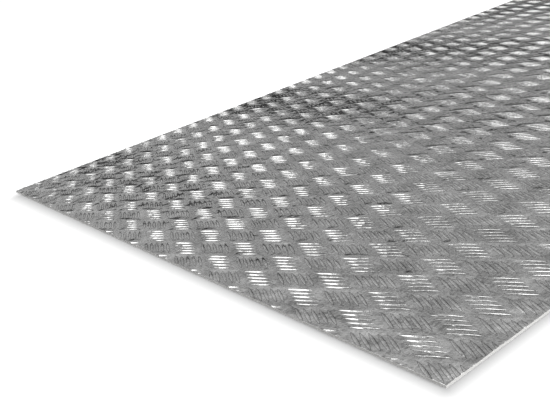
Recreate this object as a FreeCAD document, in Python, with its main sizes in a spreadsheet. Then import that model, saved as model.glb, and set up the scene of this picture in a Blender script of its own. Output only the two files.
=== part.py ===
"""Aluminium five-bar checker plate, 1.5/2.0 mm, as one cut sheet lying flat.

The sheet is a single rolled piece, so it is one solid: a rectangular blank of the plate's base
thickness, with the edges that shearing and deburring leave on it. The tread bars on its upper
side are relief half a millimetre high, and are not part of this solid.

Frame, in millimetres: the origin is at the middle of the underside, +X runs across the sheet,
+Y along it, and +Z up out of the tread side.
"""

import FreeCAD, Part
import Sketcher
import os

NODE = "checker_sheet"

# Driving dimensions, in millimetres: alias, value and what it is.
DIMENSIONS = [
    ("sheet_width", 600.0, "across the sheet, along X"),
    ("sheet_length", 1200.0, "along the sheet, along Y"),
    ("base_thickness", 1.5, "plate without its tread bars, along Z"),
    ("corner_radius", 0.3, "the four upright corners, eased with a file"),
    ("roll_over", 0.2, "radius that the shear's blade draws round the upper edge"),
    ("deburr", 0.1, "chamfer where the burr was taken off the lower edge"),
]

TOUCH = 1e-6  # two heights closer than this are the same


def add_dimensions(doc):
    """Writes the driving dimensions into a spreadsheet, one aliased row for each."""
    sheet = doc.addObject("Spreadsheet::Sheet", "Dimensions")
    for row, (alias, value, meaning) in enumerate(DIMENSIONS, start=1):
        sheet.set(f"A{row}", alias)
        sheet.set(f"B{row}", str(value))
        sheet.set(f"C{row}", meaning)
        sheet.setAlias(f"B{row}", alias)
    doc.recompute()


def origin_plane(body, role):
    """The body's own origin plane with this role."""
    return next(item for item in body.Origin.OriginFeatures if item.Role == role)


def add_outline(body):
    """Sketches the blank's rectangle, centred on the origin, on the body's XY plane."""
    sketch = body.newObject("Sketcher::SketchObject", "BlankOutline")
    sketch.AttachmentSupport = [(origin_plane(body, "XY_Plane"), "")]
    sketch.MapMode = "FlatFace"

    # A small square to start from: the constraints below give it its real size.
    corners = [FreeCAD.Vector(x, y, 0) for x, y in ((-1, -1), (1, -1), (1, 1), (-1, 1))]
    for start, end in zip(corners, corners[1:] + corners[:1]):
        sketch.addGeometry(Part.LineSegment(start, end), False)
    near, right, far, left = range(4)
    start_point, end_point = 1, 2
    origin = (-1, 1)

    for line, following in ((near, right), (right, far), (far, left), (left, near)):
        joined = (line, end_point, following, start_point)
        sketch.addConstraint(Sketcher.Constraint("Coincident", *joined))
    for line in (near, far):
        sketch.addConstraint(Sketcher.Constraint("Horizontal", line))
    for line in (right, left):
        sketch.addConstraint(Sketcher.Constraint("Vertical", line))
    opposite_corners = (near, start_point, far, start_point)
    sketch.addConstraint(Sketcher.Constraint("Symmetric", *opposite_corners, *origin))

    for line, alias in ((near, "sheet_width"), (right, "sheet_length")):
        ends = (line, start_point, line, end_point)
        direction = "DistanceX" if line == near else "DistanceY"
        index = sketch.addConstraint(Sketcher.Constraint(direction, *ends, 1.0))
        sketch.setExpression(f"Constraints[{index}]", f"Dimensions.{alias}")
    return sketch


def add_pad(body, sketch):
    """Raises the outline to the plate's base thickness."""
    pad = body.newObject("PartDesign::Pad", "RolledBlank")
    pad.Profile = sketch
    pad.setExpression("Length", "Dimensions.base_thickness")
    return pad


def edges_where(shape, wanted):
    """Names of the shape's edges for which wanted(edge) holds, as Edge1, Edge2 and so on."""
    return [f"Edge{n}" for n, edge in enumerate(shape.Edges, start=1) if wanted(edge)]


def is_upright(edge):
    """Whether the edge runs from the underside to the top."""
    return edge.BoundBox.ZLength > TOUCH


def lies_at(height):
    """A test for edges that lie flat at this height."""

    def test(edge):
        box = edge.BoundBox
        return abs(box.ZMin - height) < TOUCH and abs(box.ZMax - height) < TOUCH

    return test


def ease_edges(body, base, kind, name, wanted, size_property, alias):
    """Adds a fillet or chamfer to the wanted edges of base, and returns it."""
    feature = body.newObject(kind, name)
    feature.Base = (base, edges_where(base.Shape, wanted))
    feature.setExpression(size_property, f"Dimensions.{alias}")
    return feature


def add_sheet(doc):
    """Builds the whole sheet as one PartDesign body."""
    body = doc.addObject("PartDesign::Body", "CheckerSheet")
    body.Label = NODE
    pad = add_pad(body, add_outline(body))
    doc.recompute()

    corners = ease_edges(
        body, pad, "PartDesign::Fillet", "EasedCorners", is_upright, "Radius", "corner_radius"
    )
    doc.recompute()
    top = corners.Shape.BoundBox.ZMax
    rolled = ease_edges(
        body, corners, "PartDesign::Fillet", "RollOver", lies_at(top), "Radius", "roll_over"
    )
    doc.recompute()
    ease_edges(
        body, rolled, "PartDesign::Chamfer", "DeburredEdge", lies_at(0.0), "Size", "deburr"
    )
    doc.recompute()
    return body


def check(doc, body):
    """Stops with a message if any object failed, or if the sheet is not one sound solid."""
    for item in doc.Objects:
        if {"Invalid", "Error"} & set(item.State):
            raise RuntimeError(f"{item.Label} failed: {item.State}")
    shape = body.Shape
    if shape.isNull() or not shape.isValid() or len(shape.Solids) != 1:
        raise RuntimeError(f"{body.Label} is not one valid solid")


def main():
    """Builds the document and writes the sheet's STEP file."""
    doc = FreeCAD.newDocument("CheckerPlate")
    add_dimensions(doc)
    body = add_sheet(doc)
    check(doc, body)
    os.makedirs("parts", exist_ok=True)
    body.Shape.exportStep(f"parts/{body.Label}.step")
    box = body.Shape.BoundBox
    print(
        f"{body.Label}: {box.XLength:.3f} x {box.YLength:.3f} x {box.ZLength:.3f} mm,"
        f" {len(body.Shape.Faces)} faces, {body.Shape.Volume:.1f} mm3"
    )


main()
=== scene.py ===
"""Looks of the aluminium five-bar checker plate: its rolled tread, its mill finish and a studio.

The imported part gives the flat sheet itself. This script lays the tread bars on it as real
relief, gives sheet and bars one rolled aluminium finish, and stands a camera and a soft light
round them. Lengths are in metres, in the part's own frame: +X across, +Y along, +Z up.
"""

import logging
import math
from dataclasses import dataclass, field
from enum import Enum

import bmesh
import bpy
import numpy as np
from mathutils import Matrix, Vector


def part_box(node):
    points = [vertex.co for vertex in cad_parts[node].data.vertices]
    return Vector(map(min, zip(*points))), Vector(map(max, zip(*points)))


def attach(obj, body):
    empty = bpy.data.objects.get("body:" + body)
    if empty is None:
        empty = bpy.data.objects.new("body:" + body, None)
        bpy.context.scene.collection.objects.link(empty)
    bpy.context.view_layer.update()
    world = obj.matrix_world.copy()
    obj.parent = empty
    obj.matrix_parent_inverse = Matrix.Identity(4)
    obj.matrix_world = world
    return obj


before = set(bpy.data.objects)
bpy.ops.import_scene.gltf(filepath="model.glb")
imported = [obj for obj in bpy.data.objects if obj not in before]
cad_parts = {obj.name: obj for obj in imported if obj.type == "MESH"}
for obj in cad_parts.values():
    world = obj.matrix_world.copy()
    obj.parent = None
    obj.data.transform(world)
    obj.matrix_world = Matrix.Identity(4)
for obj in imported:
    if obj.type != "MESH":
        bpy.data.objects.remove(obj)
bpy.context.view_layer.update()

log = logging.getLogger("checker_plate")

MM = 0.001
SHEET_NODE = "checker_sheet"


class BarRun(Enum):
    """Which way a group's bars run across the sheet: towards +Y or away from it."""

    RISING = 1.0
    FALLING = -1.0

    @property
    def other(self) -> "BarRun":
        """The way that the neighbouring groups' bars run."""
        return BarRun.FALLING if self is BarRun.RISING else BarRun.RISING


class Socket(Enum):
    """Shader sockets that several finishes set, by their name in the shader."""

    COLOUR = "Base Color"
    METAL = "Metallic"
    ROUGHNESS = "Roughness"
    NORMAL = "Normal"


# ---------------------------------------------------------------------------------------
# Sizes
# ---------------------------------------------------------------------------------------


@dataclass(frozen=True)
class SheetSize:
    """Outline and base thickness of the sheet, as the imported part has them."""

    low: Vector
    high: Vector

    @property
    def top(self) -> float:
        """Height of the base surface between the bars."""
        return self.high.z

    @property
    def length(self) -> float:
        """Length of the sheet along Y."""
        return self.high.y - self.low.y

    def holds(self, points: np.ndarray) -> bool:
        """Tells whether points lie inside the outline.

        Args:
            points: rows of X, Y and Z.

        Returns:
            True if all of them do.
        """
        inside_x = (points[:, 0] > self.low.x) & (points[:, 0] < self.high.x)
        inside_y = (points[:, 1] > self.low.y) & (points[:, 1] < self.high.y)
        return bool((inside_x & inside_y).all())

    def misses(self, points: np.ndarray) -> bool:
        """Tells whether points lie off the sheet.

        Args:
            points: rows of X, Y and Z.

        Returns:
            True if all of them lie beyond one and the same side of the outline.
        """
        return bool(
            (points[:, 0] <= self.low.x).all()
            or (points[:, 0] >= self.high.x).all()
            or (points[:, 1] <= self.low.y).all()
            or (points[:, 1] >= self.high.y).all()
        )


@dataclass(frozen=True)
class BarSize:
    """One tread bar: a low lens with pointed ends.

    The bar's underside is sunk a little into the sheet, so that its flanks rise out of the
    surface with no gap.
    """

    length: float = 21.3 * MM
    width: float = 2.8 * MM
    height: float = 0.5 * MM
    sink: float = 0.12 * MM
    stations: int = 7
    across: int = 7
    end_fullness: float = 2.2
    plan_fullness: float = 0.85
    crest_fullness: float = 2.4
    flank_fullness: float = 2.2


@dataclass(frozen=True)
class TreadSize:
    """The basket weave: slanted cells, each with one group of bars.

    repeat_x and repeat_y are the distances between like groups along the sheet's edges.
    phase_x and phase_y say how far in from the sheet's right and near edges the first
    rising group's centre lies. bar_step is the distance from bar to bar as a share of a cell.
    """

    repeat_x: float = 46.62 * MM
    repeat_y: float = 23.31 * MM
    bars: int = 5
    bar_step: float = 0.195
    phase_x: float = 28.9 * MM
    phase_y: float = 18.8 * MM
    zones: int = 5

    def cell_side(self, run: BarRun) -> np.ndarray:
        """The side of a cell that bars running this way lie along, as a flat vector."""
        return np.array([self.repeat_x / 2.0, run.value * self.repeat_y / 2.0])


# ---------------------------------------------------------------------------------------
# Shader graph helper
# ---------------------------------------------------------------------------------------


class ShaderGraph:
    """Builds one node tree with short calls."""

    def __init__(self, tree: bpy.types.NodeTree) -> None:
        """Starts from an empty tree.

        Args:
            tree: the material's or world's node tree. Its nodes are removed.
        """
        self.tree = tree
        tree.nodes.clear()

    def node(self, kind: str, **settings: object) -> bpy.types.Node:
        """Adds a node.

        Args:
            kind: the node's type name.
            settings: properties to set on it.

        Returns:
            The new node.
        """
        made = self.tree.nodes.new(kind)
        for name, value in settings.items():
            setattr(made, name, value)
        return made

    def feed(self, target: bpy.types.NodeSocket, value: object) -> None:
        """Sets a socket, or links another socket to it.

        Args:
            target: the input to set.
            value: a number, a colour or another node's output.
        """
        if isinstance(value, bpy.types.NodeSocket):
            self.tree.links.new(value, target)
        else:
            target.default_value = value

    def maths(self, operation: str, *values: object, clamp: bool = False) -> bpy.types.NodeSocket:
        """Adds a maths node.

        Args:
            operation: such as ADD or MULTIPLY.
            values: its inputs, numbers or sockets.
            clamp: whether the result is held between 0 and 1.

        Returns:
            The result's socket.
        """
        made = self.node("ShaderNodeMath", operation=operation, use_clamp=clamp)
        for socket, value in zip(made.inputs, values):
            self.feed(socket, value)
        return made.outputs[0]

    def dot(self, vector: bpy.types.NodeSocket, way: Vector) -> bpy.types.NodeSocket:
        """Measures how far a vector points a given way.

        Args:
            vector: the vector to measure.
            way: unit vector to measure it along.

        Returns:
            The dot product's socket.
        """
        made = self.node("ShaderNodeVectorMath", operation="DOT_PRODUCT")
        self.feed(made.inputs[0], vector)
        made.inputs[1].default_value = way
        return made.outputs["Value"]

    def noise(
        self, vector: bpy.types.NodeSocket, scale: float, detail: float = 2.0, rough: float = 0.5
    ) -> bpy.types.NodeSocket:
        """Adds fractal noise.

        Args:
            vector: coordinates in metres.
            scale: features per metre.
            detail: number of finer octaves.
            rough: strength of the finer octaves.

        Returns:
            The noise's value, around 0.5.
        """
        made = self.node("ShaderNodeTexNoise")
        self.feed(made.inputs["Vector"], vector)
        made.inputs["Scale"].default_value = scale
        made.inputs["Detail"].default_value = detail
        made.inputs["Roughness"].default_value = rough
        return made.outputs["Fac"]

    def stretched(
        self, vector: bpy.types.NodeSocket, scale: tuple[float, float, float]
    ) -> bpy.types.NodeSocket:
        """Scales coordinates by a different amount along each axis.

        Args:
            vector: coordinates in metres.
            scale: how much along X, Y and Z.

        Returns:
            The scaled coordinates.
        """
        made = self.node("ShaderNodeMapping")
        self.feed(made.inputs["Vector"], vector)
        made.inputs["Scale"].default_value = scale
        return made.outputs["Vector"]

    def ranged(
        self,
        value: bpy.types.NodeSocket,
        source: tuple[float, float],
        result: tuple[float, float],
        smooth: bool = False,
    ) -> bpy.types.NodeSocket:
        """Maps one range to another.

        Args:
            value: the number to map.
            source: the range it comes in.
            result: the range it goes to.
            smooth: whether the change eases in and out.

        Returns:
            The mapped number's socket.
        """
        made = self.node("ShaderNodeMapRange", clamp=True)
        made.interpolation_type = "SMOOTHSTEP" if smooth else "LINEAR"
        self.feed(made.inputs["Value"], value)
        for name, number in zip(("From Min", "From Max", "To Min", "To Max"), source + result):
            made.inputs[name].default_value = number
        return made.outputs["Result"]

    def ramp(
        self, value: bpy.types.NodeSocket, stops: tuple[tuple[float, float], ...]
    ) -> bpy.types.NodeSocket:
        """Grey ramp.

        Args:
            value: position on the ramp, from 0 to 1.
            stops: pairs of position and grey level.

        Returns:
            The ramp's colour socket.
        """
        made = self.node("ShaderNodeValToRGB")
        self.feed(made.inputs["Fac"], value)
        elements = made.color_ramp.elements
        while len(elements) > 1:
            elements.remove(elements[-1])
        elements[0].position, first = stops[0]
        elements[0].color = (first, first, first, 1.0)
        for position, grey in stops[1:]:
            elements.new(position).color = (grey, grey, grey, 1.0)
        return made.outputs["Color"]

    def mixed(
        self, factor: bpy.types.NodeSocket, first: tuple[float, ...], second: tuple[float, ...]
    ) -> bpy.types.NodeSocket:
        """Blends two colours.

        Args:
            factor: 0 for the first colour, 1 for the second.
            first: red, green, blue and alpha.
            second: red, green, blue and alpha.

        Returns:
            The blended colour's socket.
        """
        made = self.node("ShaderNodeMix", data_type="RGBA")
        self.feed(made.inputs["Factor"], factor)
        for socket in made.inputs:
            if socket.type == "RGBA" and socket.name == "A":
                socket.default_value = first
            if socket.type == "RGBA" and socket.name == "B":
                socket.default_value = second
        return next(s for s in made.outputs if s.type == "RGBA")

    def bump(
        self,
        height: bpy.types.NodeSocket,
        distance: float,
        below: bpy.types.NodeSocket | None = None,
    ) -> bpy.types.NodeSocket:
        """Adds surface relief.

        Args:
            height: the relief's height, from 0 to 1.
            distance: real height in metres of a height of 1.
            below: the normal of relief that this one lies on.

        Returns:
            The bent normal's socket.
        """
        made = self.node("ShaderNodeBump")
        self.feed(made.inputs["Height"], height)
        made.inputs["Distance"].default_value = distance
        if below is not None:
            self.feed(made.inputs["Normal"], below)
        return made.outputs["Normal"]


# ---------------------------------------------------------------------------------------
# Finishes
# ---------------------------------------------------------------------------------------


@dataclass(frozen=True)
class RolledAluminium:
    """Bright mill finish: satin from the rolls, with mottling, roll grain and a faint wave.

    Scales are features per metre. Shares say how much each pattern counts in the tone. The
    wave fades from the left edge to wave_rest, which it reaches at wave_fade times the left
    edge's own X. Names that start with cut or bar_end belong to the sheared edges.
    """

    name: str
    dark: tuple[float, float, float, float] = (0.50, 0.50, 0.495, 1.0)
    light: tuple[float, float, float, float] = (0.95, 0.95, 0.945, 1.0)
    patch_scale: float = 42.0
    patch_share: float = 0.55
    grain_share: float = 0.25
    tone_range: tuple[float, float] = (0.47, 0.78)
    satin_range: tuple[float, float] = (0.35, 0.65)
    smooth_roughness: float = 0.09
    dull_roughness: float = 0.21
    wave_height: float = 3.4 * MM
    wave_length: float = 250.0 * MM
    wave_start: float = -607.0 * MM
    wave_drift: float = 2.4
    drift_scale: float = 7.0
    wave_fade: float = -0.3
    wave_rest: float = 0.3
    ridge_height: float = 0.30 * MM
    ridge_start: float = 0.24
    mottle_height: float = 1.25 * MM
    mottle_scale: float = 80.0
    speckle_height: float = 0.055 * MM
    speckle_scale: float = 620.0
    grain_height: float = 0.012 * MM
    grain_scale: tuple[float, float, float] = (900.0, 40.0, 900.0)
    # foot_shade, foot_height and foot_start set a painted shade that darkens the bars' colour near
    # their foot.
    foot_shade: float = 0.20
    foot_height: float = 0.20 * MM
    foot_start: float = 0.004 * MM
    upright: float = 0.3
    cut_dark: tuple[float, float, float, float] = (0.88, 0.87, 0.85, 1.0)
    cut_light: tuple[float, float, float, float] = (0.98, 0.975, 0.96, 1.0)
    cut_metal: float = 0.35
    cut_roughness: float = 0.46
    cut_marks: tuple[float, float, float] = (1400.0, 1400.0, 90.0)
    cut_mark_height: float = 0.03 * MM
    # bar_end_shade and bar_end_blend set a painted shade on the bars' cut ends.
    bar_end_shade: float = 0.32
    bar_end_blend: float = 0.05 * MM

    def material(self, sheet: SheetSize, tread: TreadSize) -> bpy.types.Material:
        """Builds the shader.

        Args:
            sheet: the sheet that wears it.
            tread: the basket weave, which the surface between the groups follows.

        Returns:
            The finished material.
        """
        made = bpy.data.materials.new(self.name)
        made.use_nodes = True
        graph = ShaderGraph(made.node_tree)
        place = graph.node("ShaderNodeTexCoord").outputs["Object"]
        spot = graph.node("ShaderNodeSeparateXYZ")
        graph.feed(spot.inputs[0], place)

        patches = graph.noise(place, self.patch_scale, 3.0)
        speckle = graph.noise(place, self.speckle_scale, 2.0, 0.6)
        grain = graph.noise(graph.stretched(place, self.grain_scale), 1.0, 2.0)
        blend = graph.maths("MULTIPLY_ADD", patches, self.patch_share,
                            graph.maths("MULTIPLY", speckle, 1.0 - self.patch_share))

        metal = graph.node("ShaderNodeBsdfPrincipled")
        metal.inputs[Socket.METAL.value].default_value = 1.0
        tone = graph.ranged(graph.maths("ADD", blend, graph.maths("MULTIPLY", grain, self.grain_share)),
                            self.tone_range, (0.0, 1.0))
        tint_with_painted_shade = graph.node("ShaderNodeVectorMath", operation="SCALE")
        graph.feed(tint_with_painted_shade.inputs[0], graph.mixed(tone, self.dark, self.light))
        # The colour carries a painted shade at the foot of the bars.
        graph.feed(tint_with_painted_shade.inputs["Scale"], self._painted_foot_shade(graph, spot, sheet))
        graph.feed(metal.inputs[Socket.COLOUR.value], tint_with_painted_shade.outputs["Vector"])
        graph.feed(metal.inputs[Socket.ROUGHNESS.value],
                   graph.ranged(blend, self.satin_range,
                                (self.smooth_roughness, self.dull_roughness)))

        bent = graph.bump(self._edge_wave(graph, spot, place, sheet), self.wave_height)
        bent = graph.bump(self._ridges(graph, spot, sheet, tread), self.ridge_height, bent)
        bent = graph.bump(graph.noise(place, self.mottle_scale, 1.5), self.mottle_height, bent)
        bent = graph.bump(speckle, self.speckle_height, bent)
        graph.feed(metal.inputs[Socket.NORMAL.value], graph.bump(grain, self.grain_height, bent))

        sheared = self._sheared(graph, spot, place, sheet)
        facing = graph.node("ShaderNodeNewGeometry").outputs["True Normal"]
        apart = graph.node("ShaderNodeSeparateXYZ")
        graph.feed(apart.inputs[0], facing)
        upright = graph.maths("LESS_THAN", graph.maths("ABSOLUTE", apart.outputs["Z"]),
                              self.upright)
        both = graph.node("ShaderNodeMixShader")
        graph.feed(both.inputs[0], upright)
        graph.feed(both.inputs[1], metal.outputs[0])
        graph.feed(both.inputs[2], sheared.outputs[0])
        out = graph.node("ShaderNodeOutputMaterial")
        graph.feed(out.inputs["Surface"], both.outputs[0])
        return made

    def _painted_foot_shade(
        self, graph: ShaderGraph, spot: bpy.types.Node, sheet: SheetSize
    ) -> bpy.types.NodeSocket:
        """Painted shade at the foot of the bars: the colour darkens where they rise out of the sheet.

        Args:
            graph: the material's graph.
            spot: node with the place split into X, Y and Z.
            sheet: the sheet that wears it.

        Returns:
            The brightness, 1 on the flat sheet and on the bars' crests.
        """
        above = graph.maths("SUBTRACT", spot.outputs["Z"], sheet.top)
        flat = graph.maths("LESS_THAN", above, self.foot_start)
        rising = graph.ranged(above, (0.0, self.foot_height), (self.foot_shade, 1.0))
        return graph.maths("MAXIMUM", flat, rising)

    def _edge_wave(
        self,
        graph: ShaderGraph,
        spot: bpy.types.Node,
        place: bpy.types.NodeSocket,
        sheet: SheetSize,
    ) -> bpy.types.NodeSocket:
        """The long wave that rolling leaves, strongest at the left edge.

        Args:
            graph: the material's graph.
            spot: node with the place split into X, Y and Z.
            place: coordinates in metres.
            sheet: the sheet that wears it.

        Returns:
            The wave's height, from -1 to 1.
        """
        drift = graph.maths("MULTIPLY", graph.noise(place, self.drift_scale, 1.0),
                            self.wave_drift)
        turns = graph.maths("MULTIPLY", graph.maths("SUBTRACT", spot.outputs["Y"], self.wave_start),
                            2.0 * math.pi / self.wave_length)
        swing = graph.maths("SINE", graph.maths("ADD", turns, drift))
        fade = graph.ranged(spot.outputs["X"], (sheet.low.x, sheet.low.x * self.wave_fade),
                            (1.0, self.wave_rest))
        return graph.maths("MULTIPLY", swing, fade)

    def _ridges(
        self, graph: ShaderGraph, spot: bpy.types.Node, sheet: SheetSize, tread: TreadSize
    ) -> bpy.types.NodeSocket:
        """Low swells of the surface between the groups of bars.

        Args:
            graph: the material's graph.
            spot: node with the place split into X, Y and Z.
            sheet: the sheet that wears it.
            tread: the basket weave.

        Returns:
            The swell's height, from 0 in the groups to 1 between them.
        """
        across = graph.maths("DIVIDE", graph.maths("SUBTRACT", spot.outputs["X"],
                             sheet.high.x - tread.phase_x), tread.repeat_x)
        along = graph.maths("DIVIDE", graph.maths("SUBTRACT", spot.outputs["Y"],
                            sheet.low.y + tread.phase_y), tread.repeat_y)
        sides = []
        for operation in ("ADD", "SUBTRACT"):
            cell = graph.maths(operation, across, along)
            whole = graph.maths("ROUND", cell)
            sides.append(graph.maths("ABSOLUTE", graph.maths("SUBTRACT", cell, whole)))
        return graph.ranged(graph.maths("MAXIMUM", *sides), (self.ridge_start, 0.5), (0.0, 1.0),
                            smooth=True)

    def _sheared(
        self,
        graph: ShaderGraph,
        spot: bpy.types.Node,
        place: bpy.types.NodeSocket,
        sheet: SheetSize,
    ) -> bpy.types.Node:
        """Adds the pale, duller metal of a cut edge, with upright drag marks.

        The cut ends of the bars get a painted shade, which makes them greyer than the sheet's own edge.

        Args:
            graph: the material's graph.
            spot: node with the place split into X, Y and Z.
            place: coordinates in metres.
            sheet: the sheet that wears it.

        Returns:
            The cut edge's shader node.
        """
        edge = graph.node("ShaderNodeBsdfPrincipled")
        edge.inputs[Socket.METAL.value].default_value = self.cut_metal
        edge.inputs[Socket.ROUGHNESS.value].default_value = self.cut_roughness
        marks = graph.noise(graph.stretched(place, self.cut_marks), 1.0, 2.0)
        tint_with_painted_shade = graph.node("ShaderNodeVectorMath", operation="SCALE")
        graph.feed(tint_with_painted_shade.inputs[0], graph.mixed(marks, self.cut_dark, self.cut_light))
        blend = (sheet.top - self.bar_end_blend, sheet.top + self.bar_end_blend)
        # Painted shade: darkens the colour of the bars' cut ends above the sheet's top.
        graph.feed(tint_with_painted_shade.inputs["Scale"],
                   graph.ranged(spot.outputs["Z"], blend, (1.0, self.bar_end_shade)))
        graph.feed(edge.inputs[Socket.COLOUR.value], tint_with_painted_shade.outputs["Vector"])
        graph.feed(edge.inputs[Socket.NORMAL.value], graph.bump(marks, self.cut_mark_height))
        return edge


@dataclass(frozen=True)
class PaleFloor:
    """Matt white floor, with a soft contact shade along the sheet's near and right edges.

    The shade reaches out by left_reach at the left corner and near_reach at the right one. It
    begins corner_out beyond the left corner and is full from corner_in inside it. lift is the
    glow that only the camera sees, which keeps the floor white in the picture.
    """

    name: str = "pale_floor"
    white: float = 0.86
    lift: float = 0.42
    near_reach: float = 18.0 * MM
    left_reach: float = 30.0 * MM
    shade_depth: float = 0.60
    shade_power: float = 1.5
    corner_out: float = 5.0 * MM
    corner_in: float = 25.0 * MM
    size: float = 40.0

    def material(self, sheet: SheetSize) -> bpy.types.Material:
        """Builds the floor's shader.

        Args:
            sheet: the sheet that lies on it.

        Returns:
            The finished material.
        """
        made = bpy.data.materials.new(self.name)
        made.use_nodes = True
        graph = ShaderGraph(made.node_tree)
        level = self._contact_shade(graph, sheet)
        matt = graph.node("ShaderNodeBsdfDiffuse")
        grey = graph.node("ShaderNodeCombineColor")
        for socket in grey.inputs:
            graph.feed(socket, graph.maths("MULTIPLY", level, self.white))
        graph.feed(matt.inputs["Color"], grey.outputs[0])
        glow = graph.node("ShaderNodeEmission")
        seen = graph.node("ShaderNodeLightPath").outputs["Is Camera Ray"]
        graph.feed(glow.inputs["Strength"],
                   graph.maths("MULTIPLY", graph.maths("MULTIPLY", seen, self.lift), level))
        both = graph.node("ShaderNodeAddShader")
        graph.feed(both.inputs[0], matt.outputs[0])
        graph.feed(both.inputs[1], glow.outputs[0])
        out = graph.node("ShaderNodeOutputMaterial")
        graph.feed(out.inputs["Surface"], both.outputs[0])
        return made


    def _contact_shade(self, graph: ShaderGraph, sheet: SheetSize) -> bpy.types.NodeSocket:
        """Soft shade in front of the sheet's near edge and beside its right edge.

        Args:
            graph: the floor's graph.
            sheet: the sheet that lies on it.

        Returns:
            The floor's brightness, from 1 - shade_depth at the edges to 1 away from them.
        """
        apart = graph.node("ShaderNodeSeparateXYZ")
        graph.feed(apart.inputs[0], graph.node("ShaderNodeNewGeometry").outputs["Position"])
        across, along = apart.outputs["X"], apart.outputs["Y"]
        front = graph.maths("MAXIMUM", graph.maths("SUBTRACT", sheet.low.y, along), 0.0)
        beside = graph.maths("MAXIMUM", graph.maths("SUBTRACT", across, sheet.high.x), 0.0)
        squares = [graph.maths("MULTIPLY", side, side) for side in (front, beside)]
        away = graph.maths("SQRT", graph.maths("ADD", *squares))
        reach = graph.ranged(across, (sheet.low.x, sheet.high.x),
                             (self.left_reach, self.near_reach))
        share = graph.maths("SUBTRACT", 1.0, graph.maths("DIVIDE", away, reach), clamp=True)
        shade = graph.maths("MULTIPLY", graph.maths("POWER", share, self.shade_power),
                            graph.maths("GREATER_THAN", away, 0.0))
        for place, stretch, strength in (
            (across, (sheet.low.x - self.corner_out, sheet.low.x + self.corner_in), (0.0, 1.0)),
            (along, (sheet.high.y - self.near_reach, sheet.high.y), (1.0, 0.0)),
        ):
            shade = graph.maths("MULTIPLY", shade,
                                graph.ranged(place, stretch, strength, smooth=True))
        return graph.maths("SUBTRACT", 1.0, graph.maths("MULTIPLY", shade, self.shade_depth))


# ---------------------------------------------------------------------------------------
# The sheet
# ---------------------------------------------------------------------------------------


class CheckerSheet:
    """The flat sheet itself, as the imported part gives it."""

    def __init__(self) -> None:
        """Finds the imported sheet."""
        self.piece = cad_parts[SHEET_NODE]
        self.size = SheetSize(*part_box(SHEET_NODE))

    def dress(self, metal: bpy.types.Material) -> None:
        """Puts the rolled metal in the sheet's own slots.

        Args:
            metal: the finished material.
        """
        for slot in self.piece.material_slots:
            slot.material = metal
        log.info("%s: %.1f x %.1f x %.2f mm", SHEET_NODE,
                 *((self.size.high - self.size.low) / MM))


@dataclass
class BarMesh:
    """The points and faces of one bar, along +X round its own middle."""

    points: np.ndarray
    faces: list[tuple[int, ...]] = field(default_factory=list)

    @classmethod
    def shaped(cls, size: BarSize) -> "BarMesh":
        """Builds the lens.

        Args:
            size: the bar's sizes and how finely it is divided.

        Returns:
            The bar, with its base surface at height 0.
        """
        steps = np.arange(1, size.stations + 1) / (size.stations + 1)
        along = -np.cos(math.pi * steps)
        across = np.sin(np.linspace(-1.0, 1.0, size.across) * math.pi / 2.0)
        rise = 1.0 - np.abs(across) ** size.flank_fullness
        rows = [np.array([[-size.length / 2.0, 0.0, -size.sink]])]
        for s in along:
            half = size.width / 2.0 * (1.0 - abs(s) ** size.end_fullness) ** size.plan_fullness
            crest = (size.height + size.sink) * (1.0 - abs(s) ** size.crest_fullness)
            row = np.empty((size.across, 3))
            row[:, 0] = s * size.length / 2.0
            row[:, 1] = across * half
            row[:, 2] = rise * crest - size.sink
            rows.append(row)
        rows.append(np.array([[size.length / 2.0, 0.0, -size.sink]]))
        return cls(np.vstack(rows), cls._faces(size))

    @staticmethod
    def _faces(size: BarSize) -> list[tuple[int, ...]]:
        """Joins the stations into a closed skin.

        Args:
            size: the bar's sizes and how finely it is divided.

        Returns:
            Faces as point numbers, turned outwards. The last one is the underside.
        """
        n, last = size.across, 1 + size.stations * size.across

        def at(station: int, step: int) -> int:
            """Number of a point at a station."""
            return 1 + station * n + step

        faces: list[tuple[int, ...]] = []
        for step in range(n - 1):
            faces.append((0, at(0, step), at(0, step + 1)))
            faces.append((last, at(size.stations - 1, step + 1), at(size.stations - 1, step)))
        for station in range(size.stations - 1):
            for step in range(n - 1):
                faces.append((at(station, step), at(station + 1, step),
                              at(station + 1, step + 1), at(station, step + 1)))
        left = [at(station, n - 1) for station in range(size.stations)]
        right = [at(station, 0) for station in reversed(range(size.stations))]
        faces.append(tuple([0] + left + [last] + right))
        return faces


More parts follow.
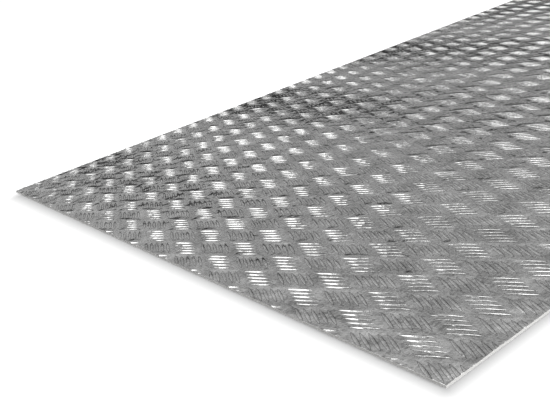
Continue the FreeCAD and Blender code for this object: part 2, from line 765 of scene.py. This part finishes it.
class Tread:
    """All of the tread bars, as joined meshes for stretches of the sheet's length."""

    def __init__(self, sheet: SheetSize, tread: TreadSize, bar: BarSize) -> None:
        """Keeps the sizes.

        Args:
            sheet: the sheet that carries the bars.
            tread: the basket weave.
            bar: one bar.
        """
        self.sheet = sheet
        self.tread = tread
        self.bar = bar
        self.pieces: list[bpy.types.Object] = []

    def build(self) -> None:
        """Lays every bar and joins them zone by zone."""
        shape = BarMesh.shaped(self.bar)
        whole: list[list[np.ndarray]] = [[] for _ in range(self.tread.zones)]
        cut: list[list[np.ndarray]] = [[] for _ in range(self.tread.zones)]
        for centre, run in self._groups():
            zone = self._zone(centre)
            for points in self._group_bars(shape, centre, run):
                if self.sheet.misses(points):
                    continue
                (whole if self.sheet.holds(points) else cut)[zone].append(points)
        for zone in range(self.tread.zones):
            piece = self._joined(f"tread_{zone + 1}", shape, whole[zone], cut[zone])
            self.pieces.append(piece)

    def dress(self, metal: bpy.types.Material) -> None:
        """Gives every zone the rolled metal and lets it go with the sheet.

        Args:
            metal: the finished material.
        """
        for piece in self.pieces:
            piece.data.materials.append(metal)
            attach(piece, "root")

    def _zone(self, centre: tuple[float, float]) -> int:
        """Finds the zone that a group belongs to.

        Args:
            centre: the group's centre.

        Returns:
            The zone's number, from 0 at the near end.
        """
        share = (centre[1] - self.sheet.low.y) / self.sheet.length
        return min(max(int(share * self.tread.zones), 0), self.tread.zones - 1)

    def _groups(self) -> list[tuple[tuple[float, float], BarRun]]:
        """Lists every group whose bars could reach the sheet.

        Returns:
            Each group's centre and which way its bars run.
        """
        across, along = self.tread.repeat_x, self.tread.repeat_y
        first = (self.sheet.high.x - self.tread.phase_x, self.sheet.low.y + self.tread.phase_y)
        count_x = int((self.sheet.high.x - self.sheet.low.x) / across) + 3
        count_y = int(self.sheet.length / along) + 3
        groups = []
        # The ranges run past the outline, as a group outside it can have a bar that reaches in.
        for row in range(-2, count_y):
            for column in range(-count_x, 3):
                for half, run in ((0.0, BarRun.RISING), (0.5, BarRun.FALLING)):
                    centre = (first[0] + (column + half) * across, first[1] + (row + half) * along)
                    groups.append((centre, run))
        return groups

    def _group_bars(
        self, shape: BarMesh, centre: tuple[float, float], run: BarRun
    ) -> list[np.ndarray]:
        """Places one group's bars.

        Args:
            shape: the bar to repeat.
            centre: the group's centre.
            run: which way its bars run.

        Returns:
            The points of each bar.
        """
        heading = self.tread.cell_side(run)
        cos, sin = heading / np.linalg.norm(heading)
        turn = np.array([[cos, -sin], [sin, cos]])
        step = self.tread.cell_side(run.other) * self.tread.bar_step
        bars = []
        for index in range(self.tread.bars):
            offset = (index - (self.tread.bars - 1) / 2.0) * step
            points = shape.points.copy()
            points[:, :2] = points[:, :2] @ turn.T + np.array(centre) + offset
            points[:, 2] += self.sheet.top
            bars.append(points)
        return bars

    def _joined(
        self, name: str, shape: BarMesh, whole: list[np.ndarray], cut: list[np.ndarray]
    ) -> bpy.types.Object:
        """Joins bars into one mesh.

        Args:
            name: the piece's name.
            shape: the bar whose faces they all have.
            whole: points of the bars that lie inside the outline.
            cut: points of the bars that the sheet's edges cut through.

        Returns:
            The joined piece, in the scene.
        """
        count = len(shape.points)
        faces = [tuple(n + count * i for n in face)
                 for i in range(len(whole) + len(cut)) for face in shape.faces]
        mesh = bpy.data.meshes.new(name)
        mesh.from_pydata(np.vstack(whole + cut).tolist(), [], faces)
        rounded = [True] * (len(shape.faces) - 1) + [False]
        mesh.polygons.foreach_set("use_smooth", rounded * (len(whole) + len(cut)))
        work = bmesh.new()
        work.from_mesh(mesh)
        self._trim(work, count * len(whole))
        work.to_mesh(mesh)
        work.free()
        mesh.update()
        piece = bpy.data.objects.new(name, mesh)
        bpy.context.scene.collection.objects.link(piece)
        triangles = sum(len(face.vertices) - 2 for face in mesh.polygons)
        log.info("%s: %d bars, %d of them cut, %d triangles",
                 name, len(whole) + len(cut), len(cut), triangles)
        return piece

    def _trim(self, work: bmesh.types.BMesh, first: int) -> None:
        """Cuts bars off flush with the sheet's edges and closes the cuts.

        Args:
            work: the joined bars.
            first: number of the first point that belongs to a bar to be cut.
        """
        low, high = self.sheet.low, self.sheet.high
        for spot, outward in (
            ((high.x, 0.0, 0.0), (1.0, 0.0, 0.0)),
            ((low.x, 0.0, 0.0), (-1.0, 0.0, 0.0)),
            ((0.0, high.y, 0.0), (0.0, 1.0, 0.0)),
            ((0.0, low.y, 0.0), (0.0, -1.0, 0.0)),
        ):
            work.verts.ensure_lookup_table()
            work.verts.index_update()
            loose = [v for v in work.verts if v.index >= first]
            chosen = set(loose)
            edges = [e for e in work.edges if e.verts[0] in chosen]
            faces = [f for f in work.faces if f.verts[0] in chosen]
            result = bmesh.ops.bisect_plane(
                work, geom=loose + edges + faces, plane_co=spot, plane_no=outward,
                clear_outer=True,
            )
            seam = [e for e in result["geom_cut"] if isinstance(e, bmesh.types.BMEdge)]
            if seam:
                caps = bmesh.ops.edgeloop_fill(work, edges=seam)["faces"]
                for edge in seam:
                    edge.smooth = False
                for face in caps:
                    face.smooth = False
                    face.normal_update()
                    if face.normal.dot(Vector(outward)) < 0.0:
                        face.normal_flip()


# ---------------------------------------------------------------------------------------
# Studio
# ---------------------------------------------------------------------------------------


@dataclass(frozen=True)
class CameraPlace:
    """Where the camera stands round the point it looks at, and its lens.

    Angles are in degrees, and lens and sensor in millimetres.
    """

    aim: tuple[float, float, float] = (0.0511, -0.5330, 0.0)
    azimuth: float = 59.13
    elevation: float = 21.53
    roll: float = -13.57
    distance: float = 0.5614
    lens: float = 48.20
    shift: tuple[float, float] = (0.051, 0.040)
    sensor: float = 36.0
    near_clip: float = 0.01
    far_clip: float = 100.0


@dataclass(frozen=True)
class Softbox:
    """A soft square lamp beside the sheet: angles in degrees, sizes in metres, power in watts."""

    name: str = "side_softbox"
    azimuth: float = 100.0
    elevation: float = 28.0
    distance: float = 2.5
    width: float = 1.2
    power: float = 52.0


@dataclass(frozen=True)
class Sky:
    """Soft surroundings: how bright they are by height, from the horizon at 0 to the top at 1.

    ripples are dim folds of cloth all round. ring is a band above them, bright towards the two
    ring_azimuths. The panel is a faint glow low on one side. Edges are the cosines between which
    a light grows from nothing to full.
    """

    strength: float = 1.80
    ripples: tuple[tuple[float, float], ...] = (
        (0.0, 0.005), (0.14, 0.015), (0.19, 0.06), (0.25, 0.36), (0.31, 0.05), (0.37, 0.32),
        (0.44, 0.045), (0.51, 0.34), (0.58, 0.15), (0.66, 0.34), (0.74, 0.08), (0.80, 0.15),
        (1.0, 0.17),
    )
    ring: tuple[tuple[float, float], ...] = (
        (0.0, 0.0), (0.745, 0.0), (0.79, 1.0), (0.90, 1.0), (0.935, 0.0),
    )
    ring_glow: float = 1.75
    ring_rest: float = 0.20
    ring_azimuths: tuple[float, float] = (-55.0, -172.0)
    panel_azimuth: float = -99.8
    panel_elevation: float = 29.3
    panel_glow: float = 0.05
    ring_edges: tuple[float, float] = (0.616, 0.83)
    panel_edges: tuple[float, float] = (0.92, 0.98)


class Studio:
    """Floor, soft surroundings, lamps and camera."""

    def __init__(self, sheet: SheetSize) -> None:
        """Keeps the sheet that it is set up round."""
        self.sheet = sheet

    def build(self) -> None:
        """Sets up everything that is not part of the object."""
        self._floor(PaleFloor())
        self._surroundings(Sky())
        self._lamp(Softbox())
        self._camera(CameraPlace())
        view = bpy.context.scene.view_settings
        view.view_transform = "Standard"

    def _floor(self, finish: PaleFloor) -> None:
        """Lays the floor under the sheet.

        Args:
            finish: the floor's finish and size.
        """
        bpy.ops.mesh.primitive_plane_add(size=finish.size,
                                         location=(0.0, 0.0, self.sheet.low.z))
        floor = bpy.context.active_object
        floor.name = "floor"
        floor.data.materials.append(finish.material(self.sheet))

    def _surroundings(self, sky: Sky) -> None:
        """Surrounds the sheet with soft light, and shows the camera a white background.

        Args:
            sky: how bright each height is.
        """
        world = bpy.data.worlds.new("studio")
        bpy.context.scene.world = world
        world.use_nodes = True
        graph = ShaderGraph(world.node_tree)
        studio = graph.node("ShaderNodeBackground")
        graph.feed(studio.inputs["Color"], self._glow(graph, sky))
        studio.inputs["Strength"].default_value = sky.strength
        plain = graph.node("ShaderNodeBackground")
        plain.inputs["Color"].default_value = (1.0, 1.0, 1.0, 1.0)
        both = graph.node("ShaderNodeMixShader")
        graph.feed(both.inputs[0], graph.node("ShaderNodeLightPath").outputs["Is Camera Ray"])
        graph.feed(both.inputs[1], studio.outputs[0])
        graph.feed(both.inputs[2], plain.outputs[0])
        out = graph.node("ShaderNodeOutputWorld")
        graph.feed(out.inputs["Surface"], both.outputs[0])

    def _glow(self, graph: ShaderGraph, sky: Sky) -> bpy.types.NodeSocket:
        """Brightness of the surroundings in every direction.

        Args:
            graph: the world's graph.
            sky: how bright each height is.

        Returns:
            The brightness, as a grey.
        """
        towards = graph.node("ShaderNodeTexCoord").outputs["Generated"]
        apart = graph.node("ShaderNodeSeparateXYZ")
        graph.feed(apart.inputs[0], towards)
        height = graph.maths("MAXIMUM", apart.outputs["Z"], 0.0)
        flat = graph.maths("SQRT", graph.maths("SUBTRACT", 1.0,
                                               graph.maths("MULTIPLY", height, height)))
        turned = []
        for azimuth in sky.ring_azimuths:
            side = graph.dot(towards, direction(azimuth, 0.0))
            turned.append(graph.ranged(graph.maths("DIVIDE", side, flat), sky.ring_edges,
                                       (sky.ring_rest, sky.ring_glow), smooth=True))
        ring = graph.maths("MULTIPLY", graph.ramp(height, sky.ring),
                           graph.maths("MAXIMUM", *turned))
        panel = graph.dot(towards, direction(sky.panel_azimuth, sky.panel_elevation))
        panel = graph.ranged(panel, sky.panel_edges, (0.0, sky.panel_glow), smooth=True)
        return graph.maths("ADD", graph.maths("ADD", graph.ramp(height, sky.ripples), ring), panel)

    def _lamp(self, box: Softbox) -> None:
        """Hangs a softbox, turned to the sheet's middle.

        Args:
            box: its place, size and power.
        """
        data = bpy.data.lights.new(box.name, "AREA")
        data.size = box.width
        data.energy = box.power
        lamp = bpy.data.objects.new(box.name, data)
        bpy.context.scene.collection.objects.link(lamp)
        back = direction(box.azimuth, box.elevation)
        lamp.location = back * box.distance
        lamp.visible_glossy = False
        lamp.rotation_euler = back.to_track_quat("Z", "Y").to_euler()

    def _camera(self, place: CameraPlace) -> None:
        """Stands the camera.

        Args:
            place: where it stands, how it is tilted, and its lens.
        """
        data = bpy.data.cameras.new("camera")
        data.sensor_width = place.sensor
        data.lens = place.lens
        data.shift_x, data.shift_y = place.shift
        data.clip_start, data.clip_end = place.near_clip, place.far_clip
        camera = bpy.data.objects.new("camera", data)
        bpy.context.scene.collection.objects.link(camera)
        back = direction(place.azimuth, place.elevation)
        right = Vector((0.0, 0.0, 1.0)).cross(back).normalized()
        upward = back.cross(right)
        roll = math.radians(place.roll)
        turned = math.cos(roll) * right + math.sin(roll) * upward
        raised = math.cos(roll) * upward - math.sin(roll) * right
        where = Vector(place.aim) + back * place.distance
        basis = Matrix((turned, raised, back)).transposed().to_4x4()
        camera.matrix_world = Matrix.Translation(where) @ basis
        bpy.context.scene.camera = camera


def direction(azimuth: float, elevation: float) -> Vector:
    """Unit vector towards a place round the sheet.

    Args:
        azimuth: degrees from the sheet's near end towards its right side.
        elevation: degrees above the floor.

    Returns:
        The vector, in the part's frame.
    """
    turn, rise = math.radians(azimuth), math.radians(elevation)
    flat = math.cos(rise)
    return Vector((math.sin(turn) * flat, -math.cos(turn) * flat, math.sin(rise)))


def main() -> None:
    """Builds and dresses the sheet, its tread and the studio."""
    logging.basicConfig(level=logging.INFO, format="%(name)s: %(message)s")
    sheet = CheckerSheet()
    weave = TreadSize()
    metal = RolledAluminium("rolled_aluminium").material(sheet.size, weave)
    sheet.dress(metal)
    tread = Tread(sheet.size, weave, BarSize())
    tread.build()
    tread.dress(metal)
    Studio(sheet.size).build()


if __name__ == "__main__":
    main()
